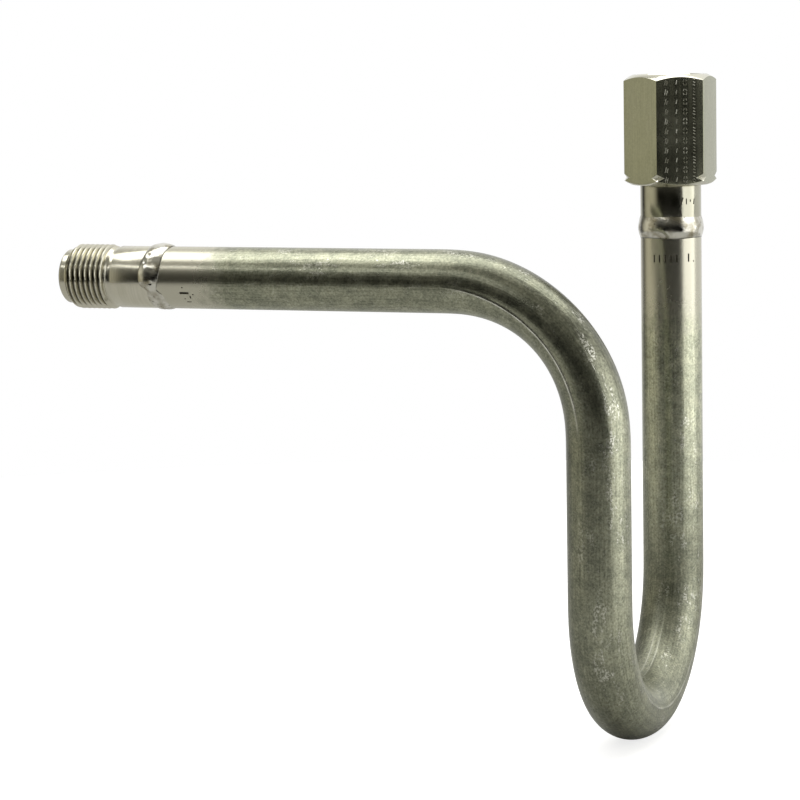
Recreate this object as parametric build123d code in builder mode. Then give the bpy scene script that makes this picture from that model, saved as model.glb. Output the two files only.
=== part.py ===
"""U-form pressure gauge siphon: a bent stainless tube with two weld-on ends and a gauge adjusting nut.

The origin is on the inlet axis where the inlet thread reaches full form. +X runs along the inlet pipe
towards the first bend, +Z is up along the gauge axis and +Y is the way the water seal loops.
"""

import os
from math import radians, sqrt, tan

from build123d import *

# --- Driving dimensions (mm) ---------------------------------------------------------------

# Parallel pipe thread G 1/2, right-hand on the inlet and in the nut's top, left-hand below the nut
thread_major_dia = 20.955
thread_minor_dia = 18.631

# Tube and its route
tube_dia = 20.0
tube_wall = 2.6
inlet_run = 147.0  # inlet weld to the axis of the down leg
inlet_bend_radius = 47.0
down_leg = 54.0  # straight stretch between the two bends
seal_bend_radius = 40.0
up_leg = 113.3  # end of the half turn to the gauge weld

# Turned weld-on end, the same blank for both ends
end_length = 34.0  # end face to the middle of its weld
end_bore = 8.0
spigot_dia = 17.5
spigot_length = 2.6
spigot_edge = 0.8
thread_length = 12.3
relief_dia = 18.2
relief_width = 3.0
weld_cup_depth = 8.0  # bore opened to the tube's own bore behind the weld

# Butt welds
root_gap = 1.2
root_face = 0.8
bevel_angle = 30.0
inlet_bead_width = 7.6
inlet_bead_height = 1.15
gauge_bead_width = 6.8
gauge_bead_height = 0.78

# Adjusting nut
nut_across_flats = 27.0
nut_length = 36.0
nut_overlap = 20.3  # how far the gauge end reaches into the nut
nut_chamfer_angle = 30.0
nut_top_land_dia = 24.4
nut_bottom_land_dia = 25.8
left_hand_thread_length = 18.0
middle_relief_dia = 21.6
middle_relief_width = 2.8
mouth_chamfer = 1.3
thread_clearance = 0.05  # radial, between the gauge end's thread and the nut
mark_groove_depth = 1.05
mark_groove_height = 2.55  # V groove above the nut's lower face

# --- Derived places ------------------------------------------------------------------------

tube_bore = tube_dia - 2 * tube_wall
thread_lead = (thread_major_dia - spigot_dia) / 2
inlet_joint_x = end_length - spigot_length - thread_lead
down_leg_x = inlet_joint_x + inlet_run
up_leg_y = 2 * seal_bend_radius
seal_z = -(inlet_bend_radius + down_leg)
gauge_joint_z = seal_z + up_leg
nut_bottom_z = gauge_joint_z + end_length - nut_overlap
nut_corner_radius = nut_across_flats / sqrt(3)
bevel_width = (tube_wall - root_face) * tan(radians(bevel_angle))

# Planes whose X runs along a weld's axis, away from the tube, and whose Y is the radius
inlet_weld_plane = Plane(origin=(inlet_joint_x, 0, 0), x_dir=(-1, 0, 0), z_dir=(0, 1, 0))
gauge_weld_plane = Plane(origin=(down_leg_x, up_leg_y, gauge_joint_z), x_dir=(0, 0, 1), z_dir=(0, -1, 0))


def axis_of(plane):
    """The weld axis of one of the two planes above."""
    return Axis(plane.origin, plane.x_dir)


def weld_end(plane):
    """One turned weld-on end: bevelled weld lip, plain body, relief, thread blank and spigot."""
    bore_r = tube_bore / 2
    body_r = tube_dia / 2
    relief_r = relief_dia / 2
    major_r = thread_major_dia / 2
    spigot_r = spigot_dia / 2
    thread_start = end_length - spigot_length - thread_lead
    thread_end = thread_start - thread_length
    shoulder = thread_end - relief_width
    lip = root_gap / 2
    cup = weld_cup_depth - (tube_bore - end_bore) / 2
    with BuildPart() as end:
        with BuildSketch(plane):
            with BuildLine():
                Polyline(
                    (lip, bore_r),
                    (lip, bore_r + root_face),
                    (lip + bevel_width, body_r),
                    (shoulder, body_r),
                    (shoulder + body_r - relief_r, relief_r),
                    (thread_end - (major_r - relief_r), relief_r),
                    (thread_end, major_r),
                    (thread_start, major_r),
                    (thread_start + thread_lead, spigot_r),
                    (end_length - spigot_edge, spigot_r),
                    (end_length, spigot_r - spigot_edge),
                    (end_length, end_bore / 2),
                    (weld_cup_depth, end_bore / 2),
                    (cup, bore_r),
                    close=True,
                )
            make_face()
        revolve(axis=axis_of(plane))
    return end


def weld_bead(plane, width, height):
    """One butt weld: the root between the two lips, the filled V and the cap lying on both sides."""
    bore_r = tube_bore / 2
    body_r = tube_dia / 2
    gap = root_gap / 2
    with BuildPart() as bead:
        with BuildSketch(plane):
            with BuildLine():
                Polyline(
                    (-width / 2, body_r),
                    (-gap - bevel_width, body_r),
                    (-gap, bore_r + root_face),
                    (-gap, bore_r),
                    (gap, bore_r),
                    (gap, bore_r + root_face),
                    (gap + bevel_width, body_r),
                    (width / 2, body_r),
                )
                ThreePointArc((width / 2, body_r), (0, body_r + height), (-width / 2, body_r))
            make_face()
        revolve(axis=axis_of(plane))
    return bead


# --- Siphon tube ---------------------------------------------------------------------------

first_bend_start = (down_leg_x - inlet_bend_radius, 0, 0)
first_bend_end = (down_leg_x, 0, -inlet_bend_radius)
seal_start = (down_leg_x, 0, seal_z)
seal_end = (down_leg_x, up_leg_y, seal_z)

with BuildPart() as siphon_tube:
    with BuildLine() as route:
        Line((inlet_joint_x + root_gap / 2, 0, 0), first_bend_start)
        TangentArc(first_bend_start, first_bend_end, tangent=(1, 0, 0))
        Line(first_bend_end, seal_start)
        TangentArc(seal_start, seal_end, tangent=(0, 0, -1))
        Line(seal_end, (down_leg_x, up_leg_y, gauge_joint_z - root_gap / 2))
    with BuildSketch(route.line ^ 0):
        Circle(tube_dia / 2)
        Circle(tube_bore / 2, mode=Mode.SUBTRACT)
    sweep(path=route.line)
    inlet_lip = siphon_tube.faces().sort_by(Axis.X)[0]
    gauge_lip = siphon_tube.faces().sort_by(Axis.Z)[-1]
    for lip in (inlet_lip, gauge_lip):
        rim = lip.outer_wire().edges()
        chamfer(rim, tube_wall - root_face, bevel_width, reference=lip)

# --- Welds and weld-on ends ----------------------------------------------------------------

inlet_fitting = weld_end(inlet_weld_plane)
gauge_fitting = weld_end(gauge_weld_plane)
inlet_weld = weld_bead(inlet_weld_plane, inlet_bead_width, inlet_bead_height)
gauge_weld = weld_bead(gauge_weld_plane, gauge_bead_width, gauge_bead_height)

# --- Adjusting nut -------------------------------------------------------------------------

nut_plane = Plane(origin=(down_leg_x, up_leg_y, nut_bottom_z))
nut_section = Plane(origin=nut_plane.origin, x_dir=(1, 0, 0), z_dir=(0, -1, 0))
nut_axis = Axis(nut_plane.origin, (0, 0, 1))

with BuildPart() as adjusting_nut:
    with BuildSketch(nut_plane):
        RegularPolygon(nut_across_flats / 2, 6, major_radius=False, rotation=30)
    extrude(amount=nut_length)

    # 30 degree lathe chamfers on both ends of the hexagon bar
    slope = tan(radians(nut_chamfer_angle))
    with BuildSketch(nut_section):
        with BuildLine():
            Polyline(
                (0, 0),
                (nut_bottom_land_dia / 2, 0),
                (nut_corner_radius, (nut_corner_radius - nut_bottom_land_dia / 2) * slope),
                (nut_corner_radius, nut_length - (nut_corner_radius - nut_top_land_dia / 2) * slope),
                (nut_top_land_dia / 2, nut_length),
                (0, nut_length),
                close=True,
            )
        make_face()
    revolve(axis=nut_axis, mode=Mode.INTERSECT)

    # V groove round the corners: the mark of a left-hand thread
    with BuildSketch(nut_section):
        with BuildLine():
            Polyline(
                (nut_corner_radius - mark_groove_depth, mark_groove_height),
                (nut_corner_radius + mark_groove_depth, mark_groove_height - 2 * mark_groove_depth),
                (nut_corner_radius + mark_groove_depth, mark_groove_height + 2 * mark_groove_depth),
                close=True,
            )
        make_face()
    revolve(axis=nut_axis, mode=Mode.SUBTRACT)

    # Left-hand thread below, relief in the middle, gauge socket above
    lower_r = thread_major_dia / 2 + thread_clearance
    socket_r = thread_minor_dia / 2
    socket_floor = left_hand_thread_length + middle_relief_width
    with BuildSketch(nut_section):
        with BuildLine():
            Polyline(
                (0, 0),
                (lower_r, 0),
                (lower_r, left_hand_thread_length),
                (middle_relief_dia / 2, left_hand_thread_length),
                (middle_relief_dia / 2, socket_floor),
                (socket_r, socket_floor),
                (socket_r, nut_length - mouth_chamfer),
                (socket_r + mouth_chamfer, nut_length),
                (0, nut_length),
                close=True,
            )
        make_face()
    revolve(axis=nut_axis, mode=Mode.SUBTRACT)

# --- Export --------------------------------------------------------------------------------

pieces = {
    "siphon_tube": siphon_tube,
    "inlet_fitting": inlet_fitting,
    "inlet_weld": inlet_weld,
    "gauge_weld": gauge_weld,
    "gauge_fitting": gauge_fitting,
    "adjusting_nut": adjusting_nut,
}

os.makedirs("parts", exist_ok=True)
for name, piece in pieces.items():
    piece.part.label = name
    export_step(piece.part, f"parts/{name}.step")
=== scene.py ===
"""Pressure gauge siphon: a stainless pipe bent into a water seal, a screwed end welded to each end
of it, and a long hexagon nut that takes the gauge."""

import math

import bmesh
import bpy
import numpy as np
from mathutils import Matrix, Vector, noise


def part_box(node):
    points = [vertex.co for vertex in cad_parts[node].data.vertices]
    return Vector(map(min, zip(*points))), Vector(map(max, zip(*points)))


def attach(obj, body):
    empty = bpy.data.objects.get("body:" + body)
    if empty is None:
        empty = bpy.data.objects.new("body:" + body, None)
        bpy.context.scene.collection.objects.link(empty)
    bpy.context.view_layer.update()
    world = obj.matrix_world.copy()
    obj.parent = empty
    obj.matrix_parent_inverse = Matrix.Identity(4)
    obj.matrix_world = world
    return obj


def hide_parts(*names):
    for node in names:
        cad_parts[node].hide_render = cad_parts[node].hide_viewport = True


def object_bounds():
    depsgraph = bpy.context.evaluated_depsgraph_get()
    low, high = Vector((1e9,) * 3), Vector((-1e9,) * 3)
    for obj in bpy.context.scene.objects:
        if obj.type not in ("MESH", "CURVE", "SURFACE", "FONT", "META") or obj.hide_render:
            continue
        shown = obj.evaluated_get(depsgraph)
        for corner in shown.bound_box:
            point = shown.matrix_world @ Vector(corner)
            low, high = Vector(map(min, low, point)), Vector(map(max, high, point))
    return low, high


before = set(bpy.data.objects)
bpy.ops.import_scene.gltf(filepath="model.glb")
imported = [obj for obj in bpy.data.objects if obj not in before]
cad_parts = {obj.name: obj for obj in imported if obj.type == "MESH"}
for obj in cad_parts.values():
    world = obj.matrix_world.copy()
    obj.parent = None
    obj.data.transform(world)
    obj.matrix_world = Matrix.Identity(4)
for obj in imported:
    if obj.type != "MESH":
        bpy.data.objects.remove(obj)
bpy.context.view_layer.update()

# -----------------------------------------------------------------------------------
# The siphon tube: 20 x 2.6 mm seamless pipe in 316 stainless steel. It is drawn straight, stamped,
# bent cold round two grooved formers and pickled in acid. Its square ends are butt welded.
MM = 0.001
PIPE_RADIUS = 10.0
BORE_RADIUS = 7.4
FIRST_BEND = 47.0
weld_low, weld_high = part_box("inlet_weld")
bead_low, bead_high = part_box("gauge_weld")
nut_low, nut_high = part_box("adjusting_nut")
tube_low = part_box("siphon_tube")[0]
INLET_JOINT = (weld_low.x + weld_high.x) / 2 / MM
GAUGE_JOINT = (bead_low.z + bead_high.z) / 2 / MM
LEG_X = (nut_low.x + nut_high.x) / 2 / MM
LEG_Y = (nut_low.y + nut_high.y) / 2 / MM
SEAL_BEND = LEG_Y / 2
SEAL_Z = tube_low.z / MM + PIPE_RADIUS + SEAL_BEND
FIRST_START = LEG_X - FIRST_BEND - INLET_JOINT
FIRST_END = FIRST_START + FIRST_BEND * math.pi / 2
SEAL_START = FIRST_END - FIRST_BEND - SEAL_Z
SEAL_END = SEAL_START + SEAL_BEND * math.pi
PIPE_LENGTH = SEAL_END + GAUGE_JOINT - SEAL_Z
HALF_ROOT_GAP = 0.5
# How far a bend draws the pipe flat towards its centre, as a share, and spreads it the other way.
FIRST_FLATTENING = 0.07
SEAL_FLATTENING = 0.035
SPREADING = 0.015
# A bend eases in: each point is the mean of where these shifts along the pipe would put it.
EASING_SHIFTS = (-5, -2.5, 0, 2.5, 5)
# Where the formers pinched lines, in degrees from the top of the arm. Each of the first bend's
# wanders that way towards its inside, and the seal bend has two strong lines and two faint ones.
FIRST_LINES = ((96, 1), (264, -1))
LINE_WANDER = 15
SEAL_LINES = (186, 354)
FAINT_LINES = (262, 274)


def turned_by(along):
    """How far round the first bend and the seal bend the pipe is, at each place along it."""
    first = np.clip((along - FIRST_START) / FIRST_BEND, 0, math.pi / 2)
    seal = np.clip((along - SEAL_START) / SEAL_BEND, 0, math.pi)
    return first, seal


def bent(stock):
    """Where the straight pipe's points lie once it is bent. Each is (along, up, side) in mm."""
    along, up, side = stock.T
    first, seal = turned_by(along)
    oval = np.sin(2 * first) ** 2
    squeeze = np.sin(seal)
    up = up * (1 - FIRST_FLATTENING * oval) * (1 + SPREADING * squeeze)
    side = side * (1 + SPREADING * oval) * (1 - SEAL_FLATTENING * squeeze)
    fall = np.clip(along - FIRST_END, 0, SEAL_START - FIRST_END)
    rise = np.maximum(along - SEAL_END, 0)
    x = INLET_JOINT + np.minimum(along, FIRST_START) + (FIRST_BEND + up) * np.sin(first)
    y = SEAL_BEND * (1 - np.cos(seal)) - side * np.cos(seal)
    z = rise - fall - FIRST_BEND * (1 - np.cos(first)) - (SEAL_BEND + side) * np.sin(seal)
    return np.stack([x, y, z + up * np.cos(first)], 1)


def hump(value, centre, width):
    """A smooth rise to 1 at the centre that has gone by about twice the width."""
    return np.exp(-(((value - centre) / width) ** 2))


def former_marks(along, angle):
    """What the formers leave on both flanks of a bend: height in mm, and how far the skin is
    rubbed bright, from 0 to 1."""
    first, seal = turned_by(along)
    on_first = np.clip(np.sin(2 * first) * 1.6, 0, 1)
    on_seal = np.clip(np.sin(seal) * 1.3, 0, 1)
    height, bright = 0 * along, 0 * along
    wander = LINE_WANDER * np.sin(1.3 * first)
    for flank, turn in FIRST_LINES:
        lip = on_first * hump(turn * (angle - flank), wander, 2.0)
        height += 0.22 * lip
        bright += 1.2 * lip * (0.75 + 0.25 * np.sin(along * 0.9))
    for flank in (SEAL_LINES[1] - 360, *SEAL_LINES):
        lip = on_seal * hump(angle, flank, 1.3)
        height += 0.12 * lip
        bright += 0.8 * lip * (0.6 + 0.4 * np.sin(along * 0.5))
    for flank in FAINT_LINES:
        lip = on_seal * hump(angle, flank, 1.1) * hump(seal, 2.1, 0.5)
        height += 0.03 * lip
        bright += 0.3 * lip
    return height, np.clip(bright, 0, 1)


def placed(name, data):
    """Puts a mesh, a lamp or a camera into the scene as an object of that name."""
    made = bpy.data.objects.new(name, data)
    bpy.context.scene.collection.objects.link(made)
    return made


def shell(name, rings, sharp=32):
    """A closed piece from rings of points in mm. Each ring runs round it, and the last ring joins
    the first. Edges turned more than sharp degrees stay sharp."""
    rows, around = rings.shape[:2]
    at = np.arange(rows * around).reshape(rows, around)
    under, beside = np.roll(at, -1, 0), np.roll(at, -1, 1)
    faces = np.stack([at, under, np.roll(under, -1, 1), beside], -1).reshape(-1, 4)
    mesh = bpy.data.meshes.new(name)
    mesh.from_pydata((rings.reshape(-1, 3) * MM).tolist(), [], faces.tolist())
    piece = placed(name, mesh)
    crease(piece, sharp)
    return piece


def crease(piece, sharp):
    """Joins doubled points, turns every face outwards, and keeps edges sharp above that angle."""
    work = bmesh.new()
    work.from_mesh(piece.data)
    bmesh.ops.remove_doubles(work, verts=work.verts, dist=0.002 * MM)
    bmesh.ops.dissolve_degenerate(work, edges=work.edges, dist=0.0001 * MM)
    bmesh.ops.recalc_face_normals(work, faces=work.faces)
    for face in work.faces:
        face.smooth = True
    for edge in work.edges:
        edge.smooth = edge.is_manifold and edge.calc_face_angle(0) < math.radians(sharp)
    work.to_mesh(piece.data)
    work.free()


def stamp(piece, strokes, inside, sharp=32):
    """Cuts V grooves into a piece that has its material, and finishes their flanks in the inside
    material. A stroke is (start, end, outward, width at the surface, depth), in mm. Its cutter
    stands a little proud of the surface."""
    proud_share = 0.15
    verts, faces = [], []
    for start, end, outward, width, depth in strokes:
        start, end, up = Vector(start), Vector(end), Vector(outward).normalized()
        across = (end - start).cross(up).normalized() * width / 2 * (1 + proud_share)
        first = len(verts)
        for point in (start, end):
            proud = point + up * depth * proud_share
            verts += [proud + across, proud - across, point - up * depth]
        faces += [[first + k for k in face] for face in ((0, 1, 2), (3, 5, 4))]
        faces += [[first + k for k in face] for face in ((0, 3, 4, 1), (1, 4, 5, 2), (2, 5, 3, 0))]
    mesh = bpy.data.meshes.new("stamps")
    mesh.from_pydata([[c * MM for c in v] for v in verts], [], faces)
    work = bmesh.new()
    work.from_mesh(mesh)
    bmesh.ops.recalc_face_normals(work, faces=work.faces)
    for face in work.faces:
        face.material_index = 1
    work.to_mesh(mesh)
    work.free()
    piece.data.materials.append(inside)
    for material in piece.data.materials:
        mesh.materials.append(material)
    punch = placed("stamps", mesh)
    cut = piece.modifiers.new("stamped", "BOOLEAN")
    cut.operation, cut.solver, cut.object = "DIFFERENCE", "EXACT", punch
    stamped = piece.evaluated_get(bpy.context.evaluated_depsgraph_get())
    done = bpy.data.meshes.new_from_object(stamped)
    piece.modifiers.clear()
    piece.data = done
    bpy.data.objects.remove(punch)
    crease(piece, sharp)


def linear(code):
    """A surface colour from its hex code, as the renderer counts light."""
    parts = [int(code[k:k + 2], 16) / 255 for k in (0, 2, 4)]
    return [c / 12.92 if c < 0.04045 else ((c + 0.055) / 1.055) ** 2.4 for c in parts] + [1]


def node(tree, kind, inputs, **settings):
    """Adds one node with its settings. An input is a value or the socket that feeds it."""
    made = tree.nodes.new("ShaderNode" + kind)
    for name, value in settings.items():
        setattr(made, name, value)
    for name, value in inputs.items():
        if isinstance(value, bpy.types.NodeSocket):
            tree.links.new(value, made.inputs[name])
        else:
            made.inputs[name].default_value = value
    return made


def metal(name, metallic=1.0):
    """A new metal finish: the material, its node tree and its surface node."""
    made = bpy.data.materials.new(name)
    made.use_nodes = True
    surface = made.node_tree.nodes["Principled BSDF"]
    surface.inputs["Metallic"].default_value = metallic
    return made, made.node_tree, surface


STRETCHES = ((HALF_ROOT_GAP, FIRST_START, 70), (FIRST_START, FIRST_END, 62),
             (FIRST_END, SEAL_START, 34), (SEAL_START, SEAL_END, 96),
             (SEAL_END, PIPE_LENGTH - HALF_ROOT_GAP, 73))
stations = [np.linspace(start, stop, rings, endpoint=False) for start, stop, rings in STRETCHES]
stations = np.append(np.concatenate(stations), PIPE_LENGTH - HALF_ROOT_GAP)
# Points lie 5 degrees apart round the pipe, and closer where the formers left their lines.
angles = np.arange(0, 360, 5.0)
for flank in (*SEAL_LINES, FAINT_LINES[1]):
    angles = np.append(angles, [flank - 3, flank - 1.4, flank, flank + 1.4, flank + 3])
for flank in (93, 245):
    angles = np.append(angles, np.arange(flank, flank + 22, 1.4))
angles = np.unique(angles % 360)
angles = angles[np.append(np.diff(angles), 9) > 0.5]
outer = np.repeat(stations[:, None], len(angles), 1)
round_pipe = np.radians(np.repeat(angles[None], len(stations), 0))
up, side = PIPE_RADIUS * np.cos(round_pipe), PIPE_RADIUS * np.sin(round_pipe)
outside = np.stack([outer, up, side], -1)
# The bore needs only every sixth ring.
inside = outside[::-6] * [1, BORE_RADIUS / PIPE_RADIUS, BORE_RADIUS / PIPE_RADIUS]
siphon_tube = shell("pickled_pipe", np.concatenate([outside, inside]))


def on_pipe(along, angle):
    """A point on the straight pipe's skin, and the way out of the pipe there, in mm."""
    turn = math.radians(angle)
    way = Vector((0, math.cos(turn), math.sin(turn)))
    return Vector((along, 0, 0)) + way * PIPE_RADIUS, way


# Pickled 316 stainless steel: acid leaves a matt, grainy, warm grey skin with drawing lines along
# the pipe. Handling rubs it bright in flecks, and it is brushed bright beside both welds.
pickled, tree, steel = metal("pickled_drawn_stainless")
place = node(tree, "Attribute", {}, attribute_name="stock").outputs["Vector"]
parts = node(tree, "SeparateXYZ", {0: place}).outputs
near_inlet = node(tree, "MapRange", {0: parts[0], 1: 8.0, 2: 36.0, 3: 1.0, 4: 0.0},
                  interpolation_type="SMOOTHSTEP").outputs[0]
near_gauge = node(tree, "MapRange", {0: parts[0], 1: PIPE_LENGTH - 50, 2: PIPE_LENGTH - 12},
                  interpolation_type="SMOOTHSTEP").outputs[0]
brushed = node(tree, "Math", {0: near_inlet, 1: near_gauge}, operation="MAXIMUM").outputs[0]
# The brushing's ragged edge wanders over 3 mm.
ragged = node(tree, "TexNoise", {"Vector": place, "Scale": 1 / 3.0, "Detail": 6.0,
                                 "Roughness": 0.7}).outputs[0]
ragged = node(tree, "MapRange", {0: ragged, 1: 0.3, 2: 0.7, 3: -0.22, 4: 0.22}).outputs[0]
brushed = node(tree, "Math", {0: brushed, 1: ragged}, operation="ADD").outputs[0]
brushed = node(tree, "MapRange", {0: brushed, 1: 0.2, 2: 0.9},
               interpolation_type="SMOOTHSTEP").outputs[0]
# Acid stains 5 mm across.
cloud = node(tree, "TexNoise", {"Vector": place, "Scale": 1 / 5.0, "Detail": 6.0,
                                "Roughness": 0.72}).outputs[0]
# Drawing lines 20 mm long. They really lie 0.1 mm apart, too fine to show, so they are 0.6 mm.
drawn_at = node(tree, "VectorMath", {0: place, 1: (0.03, 1.0, 1.0)},
                operation="MULTIPLY").outputs[0]
drawn = node(tree, "TexNoise", {"Vector": drawn_at, "Scale": 1 / 0.6, "Detail": 4.0}).outputs[0]
# Etched grain of 0.05 mm, too fine to show, so it is drawn at 0.7 mm.
grain = node(tree, "TexNoise", {"Vector": place, "Scale": 1 / 0.7, "Detail": 3.0,
                                "Roughness": 0.65}).outputs[0]
# Patches rubbed by handling, 5 mm across and 12 mm long, that break into flecks.
rubbed_at = node(tree, "VectorMath", {0: place, 1: (0.4, 1.0, 1.0)},
                 operation="MULTIPLY").outputs[0]
rubbed = node(tree, "TexNoise", {"Vector": rubbed_at, "Scale": 1 / 5.0, "Detail": 7.0,
                                 "Roughness": 0.72}).outputs[0]
rubbed = node(tree, "MapRange", {0: rubbed, 1: 0.55, 2: 0.63, 3: 0.0, 4: 0.72},
              interpolation_type="SMOOTHSTEP").outputs[0]
flecks = node(tree, "MapRange", {0: grain, 1: 0.48, 2: 0.56}).outputs[0]
rubbed = node(tree, "Math", {0: rubbed, 1: flecks}, operation="MULTIPLY").outputs[0]
# Scratches 25 mm long and 2.5 mm apart.
scored_at = node(tree, "VectorMath", {0: place, 1: (0.1, 1.0, 1.0)},
                 operation="MULTIPLY").outputs[0]
scored = node(tree, "TexNoise", {"Vector": scored_at, "Scale": 1 / 2.5, "Detail": 3.0,
                                 "Distortion": 0.6}).outputs[0]
scored = node(tree, "MapRange", {0: scored, 1: 0.5, 2: 0.51}).outputs[0]
scored = node(tree, "Math", {0: scored, 1: math.pi}, operation="MULTIPLY").outputs[0]
scored = node(tree, "Math", {0: scored}, operation="SINE").outputs[0]
sparse = node(tree, "MapRange", {0: ragged, 1: 0.06, 2: 0.12, 3: 0.0, 4: 0.8}).outputs[0]
scored = node(tree, "Math", {0: scored, 1: sparse}, operation="MULTIPLY").outputs[0]
rubbed = node(tree, "Math", {0: rubbed, 1: scored}, operation="MAXIMUM").outputs[0]
rubbed_side = node(tree, "MapRange", {0: parts[1], 1: -4.0, 2: 6.0, 3: 0.2, 4: 1.0}).outputs[0]
rubbed = node(tree, "Math", {0: rubbed, 1: rubbed_side}, operation="MULTIPLY").outputs[0]
pressed = node(tree, "Attribute", {}, attribute_name="pinched").outputs["Fac"]
rubbed = node(tree, "Math", {0: rubbed, 1: pressed}, operation="MAXIMUM").outputs[0]
blotch = node(tree, "MapRange", {0: cloud, 1: 0.4, 2: 0.62},
              interpolation_type="SMOOTHSTEP").outputs[0]
skin = node(tree, "Mix", {0: blotch, 6: linear("898b79"), 7: linear("9fa08b")},
            data_type="RGBA").outputs[2]
line = node(tree, "MapRange", {0: drawn, 1: 0.3, 2: 0.7, 3: 0.8, 4: 1.16}).outputs[0]
speck = node(tree, "MapRange", {0: grain, 1: 0.3, 2: 0.7, 3: 0.62, 4: 1.34}).outputs[0]
shade = node(tree, "Math", {0: line, 1: speck}, operation="MULTIPLY").outputs[0]
# Painted light: the legs' colour is lighter on the side where light falls and darker on the other
# side, and the gauge leg is lighter all over.
painted_light_gain = node(tree, "MapRange", {0: parts[1], 1: -9.0, 2: 9.0, 3: 0.64, 4: 1.26}).outputs[0]
on_legs = node(tree, "MapRange", {0: parts[0], 1: FIRST_START, 2: FIRST_END},
               interpolation_type="SMOOTHSTEP").outputs[0]
evener = node(tree, "MapRange", {0: parts[0], 1: SEAL_START, 2: SEAL_END, 3: 1.0, 4: 0.4},
              interpolation_type="SMOOTHSTEP").outputs[0]
on_legs = node(tree, "Math", {0: on_legs, 1: evener}, operation="MULTIPLY").outputs[0]
painted_light_gain = node(tree, "Mix", {0: on_legs, 2: 1.0, 3: painted_light_gain}).outputs[0]
# Painted light: the gauge leg's colour is lifted by up to 1.4 all over.
painted_gauge_leg_light = node(tree, "MapRange", {0: parts[0], 1: SEAL_END - 20, 2: SEAL_END + 50, 3: 1.0,
                                   4: 1.4}, interpolation_type="SMOOTHSTEP").outputs[0]
painted_light_gain = node(tree, "Math", {0: painted_light_gain, 1: painted_gauge_leg_light}, operation="MULTIPLY").outputs[0]
# Painted shade: the colour is darker on the outside of the first bend and on the inside of the
# seal bend, to dim the light they catch.
first_bend_painted_shade = node(tree, "MapRange", {0: parts[1], 1: 1.0, 2: 9.0, 3: 1.0, 4: 0.5}).outputs[0]
seal_bend_painted_shade = node(tree, "MapRange", {0: parts[2], 1: -9.0, 2: 0.0, 3: 0.8, 4: 1.0}).outputs[0]
# Each is (side, starts, full, fades, gone), in mm along the pipe.
PAINTED_BEND_SHADE = ((first_bend_painted_shade, FIRST_START - 10, FIRST_START + 25, FIRST_END - 25, FIRST_END + 10),
          (seal_bend_painted_shade, SEAL_START + 40, SEAL_START + 70, SEAL_END - 5, SEAL_END + 30))
for shaded_side, starts, full, fades, gone in PAINTED_BEND_SHADE:
    bend_in = node(tree, "MapRange", {0: parts[0], 1: starts, 2: full},
                   interpolation_type="SMOOTHSTEP").outputs[0]
    bend_out = node(tree, "MapRange", {0: parts[0], 1: fades, 2: gone, 3: 1.0, 4: 0.0},
                    interpolation_type="SMOOTHSTEP").outputs[0]
    in_bend = node(tree, "Math", {0: bend_in, 1: bend_out}, operation="MULTIPLY").outputs[0]
    # Painted shade darkens the bend's colour here.
    bend_shade = node(tree, "Mix", {0: in_bend, 2: 1.0, 3: shaded_side}).outputs[0]
    painted_light_gain = node(tree, "Math", {0: painted_light_gain, 1: bend_shade}, operation="MULTIPLY").outputs[0]
# The skin's lines and grain take the painted light and shade here.
shade = node(tree, "Math", {0: shade, 1: painted_light_gain}, operation="MULTIPLY").outputs[0]
skin = node(tree, "VectorMath", {0: skin, "Scale": shade}, operation="SCALE").outputs[0]
skin = node(tree, "Mix", {0: rubbed, 6: skin, 7: linear("e4e3d8")}, data_type="RGBA").outputs[2]
skin = node(tree, "Mix", {0: brushed, 6: skin, 7: linear("bebbaa")}, data_type="RGBA").outputs[2]
tree.links.new(skin, steel.inputs["Base Color"])
matt = node(tree, "MapRange", {0: cloud, 1: 0.35, 2: 0.65, 3: 0.27, 4: 0.33}).outputs[0]
matt = node(tree, "Mix", {0: rubbed, 2: matt, 3: 0.24}).outputs[0]
matt = node(tree, "Mix", {0: brushed, 2: matt, 3: 0.27}).outputs[0]
# The skin crumpled slightly where the seal bend squeezed it, which scatters light more. The last
# round of the loop above left that bend's share in in_bend.
crumpled = node(tree, "MapRange", {0: parts[2], 1: -9.0, 2: 0.0, 3: 0.17, 4: 0.0}).outputs[0]
crumpled = node(tree, "Math", {0: crumpled, 1: in_bend}, operation="MULTIPLY").outputs[0]
matt = node(tree, "Math", {0: matt, 1: crumpled}, operation="ADD").outputs[0]
tree.links.new(matt, steel.inputs["Roughness"])
rough_skin = node(tree, "Math", {0: grain, 1: drawn}, operation="ADD").outputs[0]
worn_flat = node(tree, "MapRange", {0: brushed, 3: 1.0, 4: 0.25}).outputs[0]
rough_skin = node(tree, "Math", {0: rough_skin, 1: worn_flat}, operation="MULTIPLY").outputs[0]
relief = node(tree, "Bump", {"Height": rough_skin, "Strength": 0.5, "Distance": 0.00006})
tree.links.new(relief.outputs[0], steel.inputs["Normal"])
siphon_tube.data.materials.append(pickled)

# Dirt in struck marks: a dark brown film over steel, so they read as fine dark strokes.
dirt, tree, steel = metal("dirty_struck_stainless", 0.6)
# Clots of dirt 0.7 mm across.
film = node(tree, "TexNoise", {"Vector": node(tree, "TexCoord", {}).outputs["Object"],
                               "Scale": 1 / (0.7 * MM)}).outputs[0]
film = node(tree, "Mix", {0: film, 6: linear("24211a"), 7: linear("6a6656")},
            data_type="RGBA").outputs[2]
tree.links.new(film, steel.inputs["Base Color"])
steel.inputs["Roughness"].default_value = 0.6

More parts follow.
